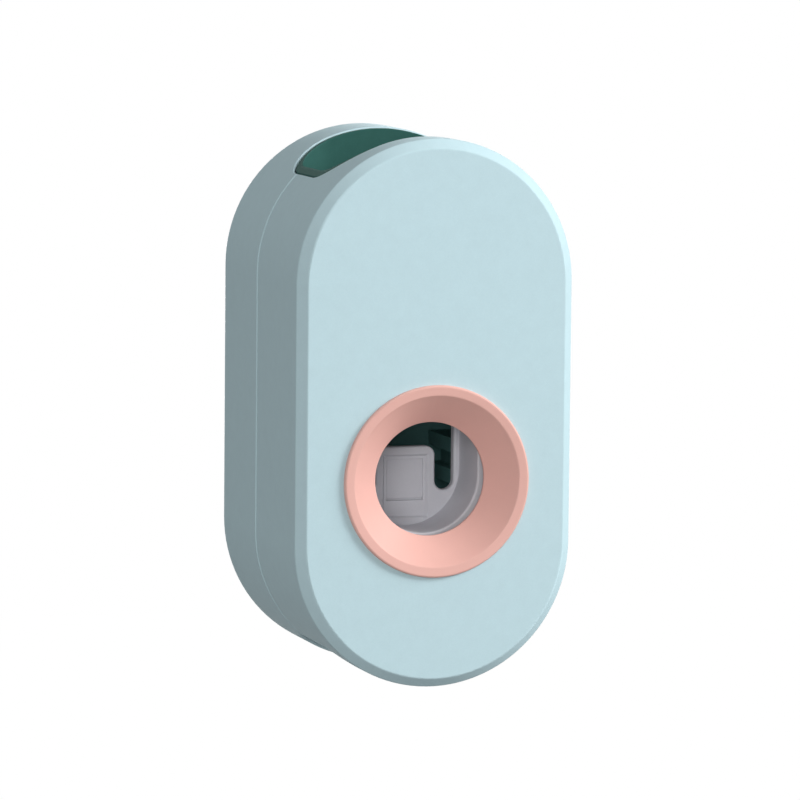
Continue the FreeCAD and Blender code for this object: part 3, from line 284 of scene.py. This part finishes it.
def skinPiece(name, skins, slot, body, replaced):
    points, faces = [], []
    for grid, ringed in skins:
        first = sum(len(part) for part in points)
        faces += [[first + corner for corner in face] for face in gridFaces(*grid.shape[:2], ringed)]
        points.append(grid.reshape(-1, 3))
    mesh = bpy.data.meshes.new(name)
    mesh.from_pydata(np.concatenate(points).tolist(), [], faces)
    mesh.validate()
    turnOutwards(mesh)
    mesh.polygons.foreach_set("use_smooth", np.array([len(face) == 4 for face in faces]))
    mesh.materials.append(finishes[slot])
    piece = bpy.data.objects.new(name, mesh)
    scene.collection.objects.link(piece)
    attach(piece, body)
    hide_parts(replaced)
    return piece


def tubeGrid(path, side, radii, columns):
    # circles of the given radii round a path: side is one direction square to it at every point
    way = np.gradient(path, axis=0)
    way /= np.linalg.norm(way, axis=1, keepdims=True)
    side = side - way * np.sum(side * way, axis=1, keepdims=True)
    side /= np.linalg.norm(side, axis=1, keepdims=True)
    other = np.cross(way, side)
    turn = np.linspace(0, 2 * np.pi, columns, endpoint=False)
    ring = np.cos(turn)[None, :, None] * side[:, None, :] + np.sin(turn)[None, :, None] * other[:, None, :]
    return path[:, None, :] + radii[:, None, None] * ring


def softLine(corners, steps=6):
    # every corner between the ends is cut back by its own length and bridged with a parabola
    corners = np.array([(*spot, 0)[:3] for spot in corners], dtype=float)
    spots, cut = corners[:, :2], corners[1:-1, 2:3]
    before, middle, after = spots[:-2], spots[1:-1], spots[2:]
    start = middle + (before - middle) / np.linalg.norm(before - middle, axis=1, keepdims=True) * cut
    end = middle + (after - middle) / np.linalg.norm(after - middle, axis=1, keepdims=True) * cut
    share = np.linspace(0, 1, steps)[None, :, None]
    bridge = ((1 - share) ** 2 * start[:, None] + 2 * share * (1 - share) * middle[:, None]
              + share ** 2 * end[:, None])
    return np.concatenate([spots[:1], bridge.reshape(-1, 2), spots[-1:]])


def latheGrid(profile, center, axis, columns):
    # a profile of radius and height in millimetres, turned round an axis through the center
    axis = np.array(axis, dtype=float)
    side = np.array([1.0, 0.0, 0.0])
    other = np.cross(axis, side)
    turn = np.linspace(0, 2 * np.pi, columns, endpoint=False)[None, :, None]
    radius, height = profile[:, 0, None, None] * mm, profile[:, 1, None, None] * mm
    return np.array(center) + radius * (np.cos(turn) * side + np.sin(turn) * other) + height * axis


def nodeAxis(node):
    # the middle of a node's box, in metres, and its lengths in millimetres
    low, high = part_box(node)
    return (low + high) / 2, (high - low) / mm


# Return spring: a helix whose pitch closes up at both ends, so its end coils lie flat on their seats

springLook = {"turns": 9, "deadTurns": 0.8, "deadPitch": 0.28, "wire": 0.7, "stepsPerTurn": 48, "sides": 14}


def makeReturnSpring(look):
    low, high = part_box("return_spring")
    center = (low + high) / 2
    wire = look["wire"] * mm
    radius = (high.x - low.x) / 2 - wire / 2
    steps = look["turns"] * look["stepsPerTurn"] + 1
    turn = np.linspace(0, look["turns"], steps)
    # the rise per turn is a small share in the dead coils and full between them, summed and scaled to length
    ease = np.clip(np.minimum(turn, look["turns"] - turn) / look["deadTurns"], 0, 1)
    pitch = look["deadPitch"] + (1 - look["deadPitch"]) * ease * ease * (3 - 2 * ease)
    rise = np.concatenate([[0], np.cumsum((pitch[1:] + pitch[:-1]) / 2)])
    rise /= rise[-1]
    length = high.y - low.y - wire
    angle = 2 * np.pi * turn
    side = np.stack([np.cos(angle), np.zeros(steps), np.sin(angle)], axis=1)
    path = side * radius + np.array([center.x, 0, center.z])
    path[:, 1] = high.y - wire / 2 - rise * length
    coil = tubeGrid(path, side, np.full(steps, wire / 2), look["sides"])
    spring = skinPiece("springCoil", [(coil, False)], "steel", "housing", "return_spring")
    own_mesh(spring)
    return spring


makeReturnSpring(springLook)
print("return spring wound")


# Inlet sleeve: a flanged ring with a lead-in; the grip ribs of its bore are squared sines along the height

sleeveLook = {"bore": 5.6, "body": 7.43, "flange": 0.98, "lead": 0.8, "round": 0.3, "rootRound": 0.15,
              "rimRound": 0.45, "ribs": 4, "ribDepth": 0.28, "ribSteps": 60, "columns": 96}


def makeInletSleeve(look):
    center, extent = nodeAxis("inlet_seal")
    top, rim, bore = extent.z / 2, extent.x / 2, look["bore"]
    seat = top - look["flange"]
    body, lead, soft = look["body"], look["lead"], look["round"]
    outside = softLine([(bore, -top), (body, -top, soft), (body, seat, look["rootRound"]), (rim, seat, soft),
                        (rim, top, look["rimRound"]), (bore + lead, top, soft), (bore, top - lead, soft),
                        (bore, top - 2 * lead)])
    share = np.linspace(0, 1, look["ribSteps"])
    height = top - 2 * lead - share * (2 * top - 2 * lead)
    ribs = bore + look["ribDepth"] * np.sin(np.pi * look["ribs"] * share) ** 2
    profile = np.concatenate([outside, np.column_stack([ribs, height])[1:-1]])
    sleeve = latheGrid(profile, center, (0, 0, 1), look["columns"])
    return skinPiece("inletSleeve", [(sleeve, True)], "silicone", "housing", "inlet_seal")


makeInletSleeve(sleeveLook)


# Duckbill valve: a disc whose bill is a cone that flattens into a slit, so each level is an ellipse

billLook = {"bore": 1.7, "disc": 1.48, "base": 2.5, "tipWide": 2.15, "tipThick": 0.62, "lipWide": 1.6,
            "lipGap": 0.05, "round": 0.3, "steps": 16, "columns": 72}


def makeDuckbill(look):
    low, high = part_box("inlet_valve")
    center = (low + high) / 2
    top, bottom, rim = (high.z - center.z) / mm, (low.z - center.z) / mm, (high.x - low.x) / mm / 2
    under = top - look["disc"]
    # half widths along X and Y, and the height, for every row from the bore over the rim to the lips and back
    disc = softLine([(look["bore"], top), (rim, top, look["round"]), (rim, under, look["round"]),
                     (look["base"], under, look["round"]), (look["base"], under - look["round"])])
    share = np.linspace(0, 1, look["steps"])
    ease = share * share * (3 - 2 * share)
    fall = under - look["round"] + share * (bottom - under + look["round"])
    rise = bottom + share * (top - bottom)
    outer = np.column_stack([look["base"] + share * (look["tipWide"] - look["base"]),
                             look["base"] + ease * (look["tipThick"] - look["base"]), fall])
    inner = np.column_stack([look["lipWide"] + share * (look["bore"] - look["lipWide"]),
                             look["lipGap"] + ease * (look["bore"] - look["lipGap"]), rise])
    rows = np.concatenate([np.column_stack([disc[:, 0], disc[:, 0], disc[:, 1]]), outer[1:], inner[:-1]]) * mm
    turn = np.linspace(0, 2 * np.pi, look["columns"], endpoint=False)
    grid = np.stack([rows[:, 0:1] * np.cos(turn), rows[:, 1:2] * np.sin(turn),
                     np.repeat(rows[:, 2:3], look["columns"], axis=1)], axis=-1) + np.array(center)
    return skinPiece("duckbillValve", [(grid, True)], "silicone", "housing", "inlet_valve")


makeDuckbill(billLook)


# Gland seal and end seal: turned round the barrel's axis, one with a V-shaped lip, one a squeezed ring

glandLook = {"bore": 5.64, "rimPlay": 0.01, "lip": 0.5, "lipDepth": 1.0, "round": 0.25, "columns": 96}
ringSealLook = {"power": 2.3, "steps": 28, "columns": 120}


def makeGlandSeal(look):
    center, extent = nodeAxis("gland_seal")
    rear, rim, bore = extent.y / 2, extent.x / 2 - look["rimPlay"], look["bore"]
    middle, soft = (rim + bore) / 2, look["round"]
    profile = softLine([(bore, 0), (bore, rear, soft), (middle - look["lip"], rear, soft),
                        (middle, rear - look["lipDepth"], soft), (middle + look["lip"], rear, soft),
                        (rim, rear, soft), (rim, -rear, soft), (bore, -rear, soft), (bore, -rear / 2)])
    lip = latheGrid(profile, center, (0, 1, 0), look["columns"])
    return skinPiece("glandLip", [(lip, True)], "silicone", "housing", "gland_seal")


def makeEndSeal(look):
    center, extent = nodeAxis("end_cap_seal")
    cord = extent.y / 2
    turn = np.linspace(0, 2 * np.pi, look["steps"], endpoint=False)
    # a superellipse: cosine and sine raised to less than one, with their signs kept
    across = np.sign(np.cos(turn)) * np.abs(np.cos(turn)) ** (2 / look["power"])
    along = np.sign(np.sin(turn)) * np.abs(np.sin(turn)) ** (2 / look["power"])
    profile = np.column_stack([extent.x / 2 - cord + cord * across, cord * along])
    ring = latheGrid(profile, center, (0, 1, 0), look["columns"])
    return skinPiece("endSeal", [(ring, True)], "silicone", "housing", "end_cap_seal")


makeGlandSeal(glandLook)
makeEndSeal(ringSealLook)


# Outlet spout: a turned sleeve that fits over the spigot, and a hollow tube that leaves it forward, then down

spoutLook = {"seat": 2.65, "seatDepth": 2.4, "drop": 1.6, "dropDepth": 1.0, "pole": 0.01, "edge": 0.1,
             "mouthRound": 0.2, "rimRound": 0.4, "baseRound": 1.6, "levelSteps": 12, "dropSteps": 8,
             "boreRows": 4, "tube": 1.9, "bore": 1.1, "bend": 2.2, "lip": 0.12, "lipReach": 1.0,
             "bendSteps": 14, "columns": 64}


def makeSpout(look):
    low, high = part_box("outlet_spout")
    sleeve = (high.x - low.x) / mm / 2
    top, tip = high.z / mm, low.z / mm
    sleeveY, nozzleY = high.y / mm - sleeve, low.y / mm + look["tube"]
    tubeZ = tip + look["bend"] + look["lipReach"] - look["lip"]
    base = tubeZ - look["tube"]
    floor, step = top - look["seatDepth"] - look["dropDepth"], top - look["seatDepth"]
    pole, edge, drop, seat = look["pole"], look["edge"], look["drop"], look["seat"]
    cup = softLine([(pole, floor), (drop, floor, edge), (drop, step, edge), (seat, step, edge),
                    (seat, top, look["mouthRound"]), (sleeve, top, look["rimRound"]),
                    (sleeve, base, look["baseRound"]), (pole, base)])
    sleeveGrid = latheGrid(cup, (0, sleeveY * mm, 0), (0, 0, 1), look["columns"])
    # the tube's line: level from inside the sleeve, a quarter circle down, and straight to the tip
    turn = np.linspace(0, np.pi / 2, look["bendSteps"])
    bend = look["bend"]
    level = np.linspace(sleeveY - seat, nozzleY + bend, look["levelSteps"])[:-1]
    fall = np.linspace(tubeZ - bend, tip, look["dropSteps"])[1:]
    lineY = np.concatenate([level, nozzleY + bend - bend * np.sin(turn), np.full(len(fall), nozzleY)])
    lineZ = np.concatenate([np.full(len(level), tubeZ), tubeZ - bend + bend * np.cos(turn), fall])
    path = np.column_stack([np.zeros(len(lineY)), lineY, lineZ])
    toTip = np.clip((lineZ - tip) / look["lipReach"], 0, 1)
    radii = look["tube"] - look["lip"] * np.sin(np.pi * toTip) ** 2
    side = np.tile([1.0, 0.0, 0.0], (len(path), 1))
    outside = tubeGrid(path, side, radii, look["columns"])
    inside = tubeGrid(path, side, np.full(len(path), look["bore"]), look["columns"])
    # the bore turns back at the tip and ends a few rows short of the sleeve's middle
    tube = np.concatenate([outside, inside[::-1][:-look["boreRows"]]]) * mm
    skins = [(sleeveGrid, False), (tube, False)]
    return skinPiece("outletSpout", skins, "silicone", "housing", "outlet_spout")


makeSpout(spoutLook)


# Adhesive pad: a foam slab with round corners whose cut sides bulge a little between its two flat faces

padLook = {"corner": 3.0, "bulge": 0.15, "rows": 9, "cornerSteps": 12, "fill": 0.8}


def makeFoamPad(look):
    center, extent = nodeAxis("adhesive_pad")
    share = np.linspace(0, 1, look["rows"])
    inset = look["bulge"] * (1 - np.sin(np.pi * share))
    depth = extent.y / 2 - share * extent.y
    # a quarter turn at each of the four corner centers, drawn in by the inset of its row
    turn = np.linspace(0, np.pi / 2, look["cornerSteps"])
    angle = (np.arange(4)[:, None] * np.pi / 2 + turn[None, :]).ravel()
    signX = np.repeat([1, -1, -1, 1], look["cornerSteps"])
    signZ = np.repeat([1, 1, -1, -1], look["cornerSteps"])
    radius = look["corner"] - inset[:, None]
    acrossX = signX * (extent.x / 2 - look["corner"]) + radius * np.cos(angle)
    acrossZ = signZ * (extent.z / 2 - look["corner"]) + radius * np.sin(angle)
    slab = np.stack([acrossX, np.repeat(depth[:, None], len(angle), axis=1), acrossZ], axis=-1) * mm
    piece = skinPiece("foamPad", [(slab + np.array(center), False)], "foam", "wall_mount", "adhesive_pad")
    return piece


makeFoamPad(padLook)
print("soft pieces formed")


# Camera at the photograph's angle: it looks at the middle of the housing, a little left of the image's middle

cameraLook = {"azimuth": 17.90, "elevation": 6.44, "roll": 0.53, "distance": 1.029, "focalPixels": 5290,
              "imagePixels": 800, "centerPixel": (395.9, 400.4)}


def placeCamera(look):
    center = Vector((0, (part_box("front_cover")[0].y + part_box("rear_shell")[1].y) / 2, 0))
    azimuth, elevation, roll = (math.radians(look[key]) for key in ("azimuth", "elevation", "roll"))
    back = Vector((-math.sin(azimuth) * math.cos(elevation), -math.cos(azimuth) * math.cos(elevation),
                   math.sin(elevation)))
    level = (-back).cross(Vector((0, 0, 1))).normalized()
    upright = level.cross(-back)
    right = level * math.cos(roll) + upright * math.sin(roll)
    up = upright * math.cos(roll) - level * math.sin(roll)
    data = bpy.data.cameras.new("photoCamera")
    data.sensor_width = 36.0
    data.lens = data.sensor_width * look["focalPixels"] / look["imagePixels"]
    half = look["imagePixels"] / 2
    data.shift_x = (half - look["centerPixel"][0]) / look["imagePixels"]
    data.shift_y = (look["centerPixel"][1] - half) / look["imagePixels"]
    data.clip_start = 0.01
    camera = bpy.data.objects.new("photoCamera", data)
    scene.collection.objects.link(camera)
    turned = Matrix((right, up, back)).transposed().to_4x4()
    camera.matrix_world = Matrix.Translation(center + back * look["distance"]) @ turned
    scene.camera = camera
    return center, right, up, back


center, viewRight, viewUp, viewBack = placeCamera(cameraLook)
print("camera placed")


# Studio: a soft key lamp from the upper right front, a like one that grazes the front from the right and
# lights the funnel, a broad fill from beside the camera, one behind, an even surround and a pale floor below

lampLooks = {
    "keyLamp": {"right": 0.84, "up": 0.45, "back": 0.31, "distance": 1.2, "width": 0.5, "level": 0.5},
    "sideLamp": {"right": 0.92, "up": 0.36, "back": 0.12, "distance": 1.2, "width": 0.5, "level": 0.54},
    "fillLamp": {"right": -0.1, "up": 0.06, "back": 1.00, "distance": 1.3, "width": 0.6, "level": 0.37},
    "rearLamp": {"right": -0.1, "up": 0.1, "back": -0.99, "distance": 1.2, "width": 0.4, "level": 0.34},
}
studioLook = {"surround": 0.318, "floorDrop": 0.95, "floorReach": 6.0, "floorGray": 0.34, "floorTint": 1.02,
              "floorScale": 3.0, "floorShow": 0.9, "floorWhite": 1.1}


def placeLamp(name, look):
    # level is how bright a white face square to the lamp shows, so the power grows with the distance squared
    way = (viewRight * look["right"] + viewUp * look["up"] + viewBack * look["back"]).normalized()
    data = bpy.data.lights.new(name, "AREA")
    data.shape = "DISK"
    data.size = look["width"]
    data.energy = look["level"] * (math.pi * look["distance"]) ** 2
    lamp = bpy.data.objects.new(name, data)
    scene.collection.objects.link(lamp)
    facing = way.to_track_quat("Z", "Y").to_matrix().to_4x4()
    lamp.matrix_world = Matrix.Translation(center + way * look["distance"]) @ facing


def whiteRays(tree):
    # 1 for rays that see the backdrop as plain white: from the camera, off a gloss or through something clear
    path = addNode(tree, "ShaderNodeLightPath").outputs
    mirrored = addNode(tree, "ShaderNodeMath", {0: path["Is Camera Ray"], 1: path["Is Glossy Ray"]},
                       operation="MAXIMUM").outputs[0]
    return addNode(tree, "ShaderNodeMath", {0: mirrored, 1: path["Is Transmission Ray"]},
                   operation="MAXIMUM").outputs[0]


def makeSurround(look):
    world = bpy.data.worlds.new("studio")
    world.use_nodes = True
    tree = world.node_tree
    tree.nodes.clear()
    strength = addNode(tree, "ShaderNodeMapRange", {"Value": whiteRays(tree), "To Min": look["surround"],
                                                    "To Max": 1.0}).outputs["Result"]
    light = addNode(tree, "ShaderNodeBackground", {"Color": (1, 1, 1, 1), "Strength": strength})
    output = addNode(tree, "ShaderNodeOutputWorld")
    tree.links.new(light.outputs[0], output.inputs["Surface"])
    scene.world = world


def makeFloor(look):
    level = cadBounds[0][2] - look["floorDrop"]
    reach = look["floorReach"]
    mesh = bpy.data.meshes.new("floor")
    corners = np.array([[-1, -1], [1, -1], [1, 1], [-1, 1]]) * reach
    mesh.from_pydata(np.column_stack([corners, np.full(4, level)]).tolist(), [], [[0, 1, 2, 3]])
    material, tree = newMaterial("paleFloor")
    coords = addNode(tree, "ShaderNodeTexCoord").outputs["Object"]
    cloud = addNode(tree, "ShaderNodeTexNoise", {"Vector": coords, "Scale": look["floorScale"],
                                                 "Detail": 2.0}).outputs[0]
    gray = look["floorGray"]
    color = blendColors(tree, cloud, shade((gray,) * 3, 1.0), shade((gray,) * 3, look["floorTint"]))
    matte = addNode(tree, "ShaderNodeBsdfDiffuse", {"Color": color})
    white = addNode(tree, "ShaderNodeEmission", {"Color": (1, 1, 1, 1), "Strength": look["floorWhite"]})
    share = addNode(tree, "ShaderNodeMath", {0: whiteRays(tree), 1: look["floorShow"]},
                    operation="MULTIPLY").outputs[0]
    mix = addNode(tree, "ShaderNodeMixShader", {0: share, 1: matte.outputs[0], 2: white.outputs[0]})
    finishSurface(tree, mix)
    mesh.materials.append(material)
    floor = bpy.data.objects.new("floor", mesh)
    scene.collection.objects.link(floor)


for lampName, lampLook in lampLooks.items():
    placeLamp(lampName, lampLook)
makeSurround(studioLook)
makeFloor(studioLook)
print("studio lit")
